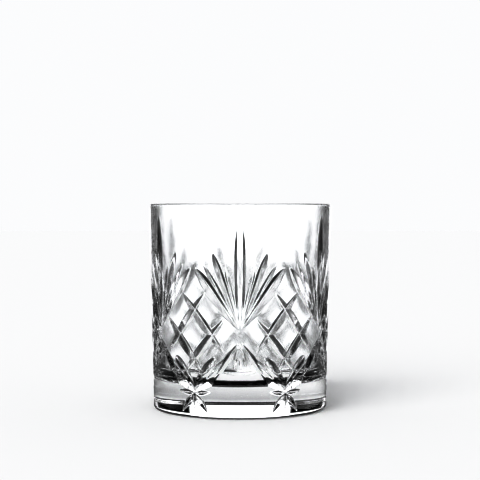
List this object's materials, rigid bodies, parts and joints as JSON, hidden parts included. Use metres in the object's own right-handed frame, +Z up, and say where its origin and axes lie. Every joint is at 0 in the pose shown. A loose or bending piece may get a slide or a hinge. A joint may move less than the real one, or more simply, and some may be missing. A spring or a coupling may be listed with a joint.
{
  "type": "whiskey tumbler",
  "caption": "Straight-sided whiskey tumbler in clear pressed glass, with a thick base and a wall cut with fans, a diamond lattice and small stars",
  "frame": {"origin": "centre of the resting face, on the axis of the glass", "axes": "+Z up along the axis from the foot to the rim; a fan of cuts faces -Y, towards the viewer"},
  "size_m": [0.084, 0.084, 0.094],
  "materials": {
    "glass": "clear, polished, pressed"
  },
  "bodies": {
    "root": {"glass_body": "glass"}
  },
  "joints": []
}
